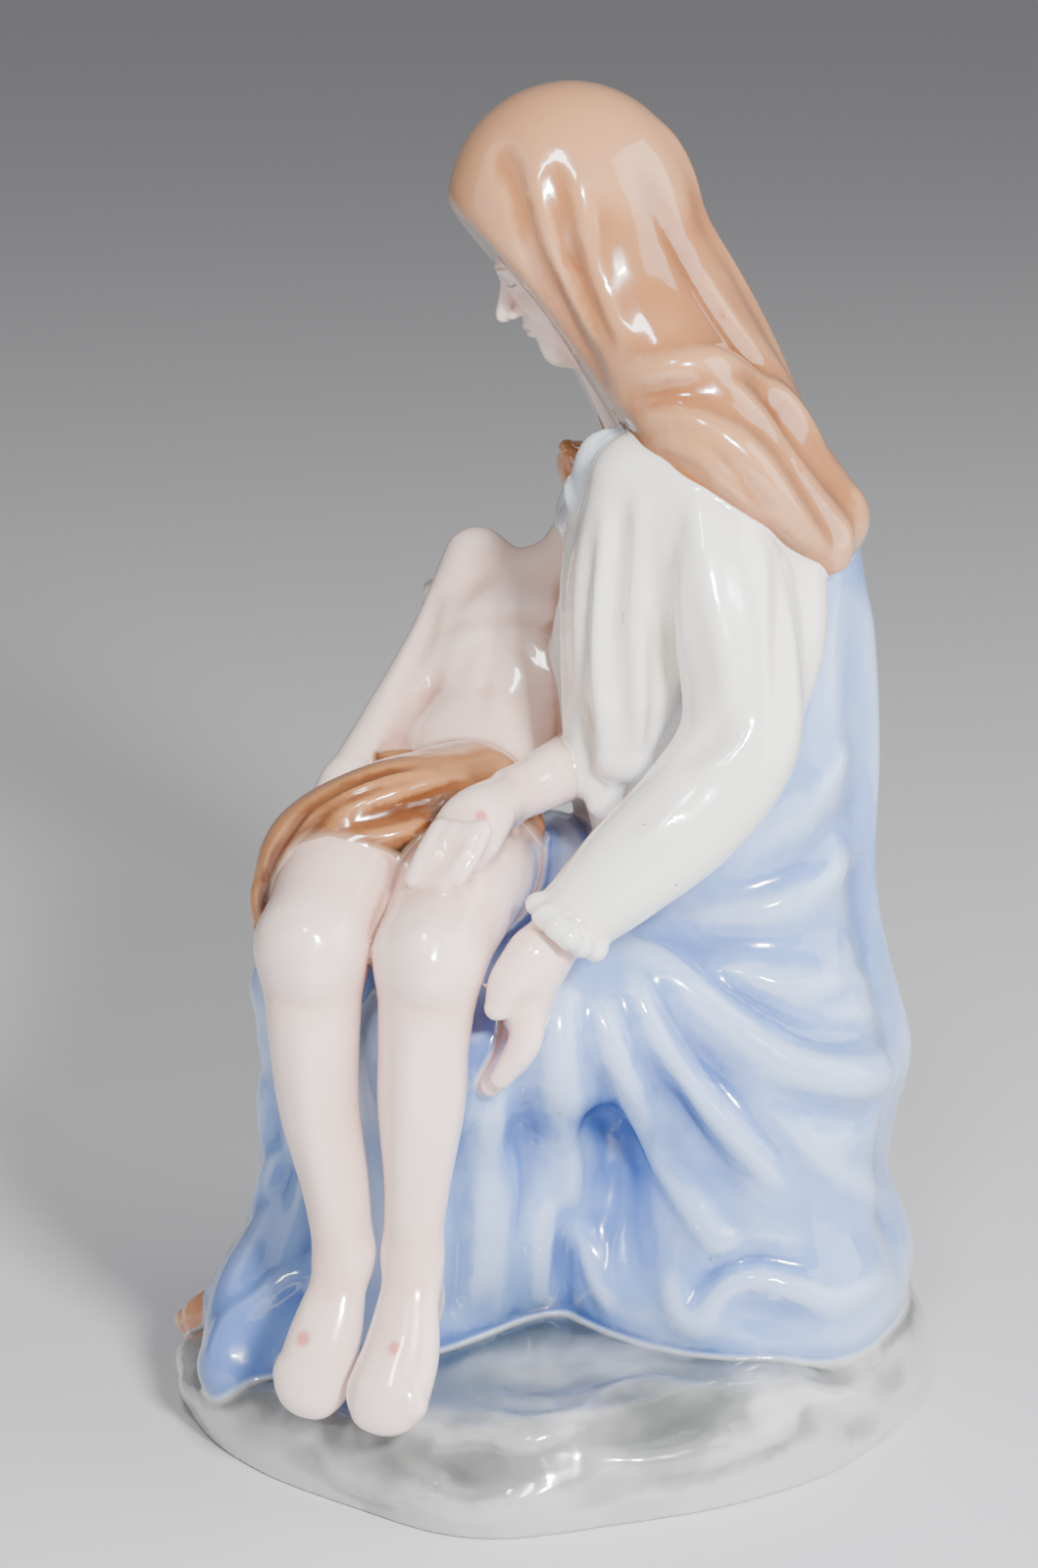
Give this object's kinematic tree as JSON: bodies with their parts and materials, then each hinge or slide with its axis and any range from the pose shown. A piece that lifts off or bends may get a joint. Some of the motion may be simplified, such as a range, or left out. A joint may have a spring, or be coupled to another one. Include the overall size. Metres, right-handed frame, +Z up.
{
  "type": "pieta figurine",
  "caption": "Glazed porcelain figure group of a seated veiled woman holding a man across her lap, on an oval rock base",
  "frame": {"origin": "in the underside of the rock base, near its middle", "axes": "+Z up along the group's height; the seated woman faces -Y, and +X is her left side"},
  "size_m": [0.168, 0.173, 0.2988],
  "materials": {
    "porcelain": "high-gloss clear glaze over soft underglaze blue, white, tan, grey, flesh and brown"
  },
  "bodies": {
    "root": {"pieta_group": "porcelain"}
  },
  "joints": []
}
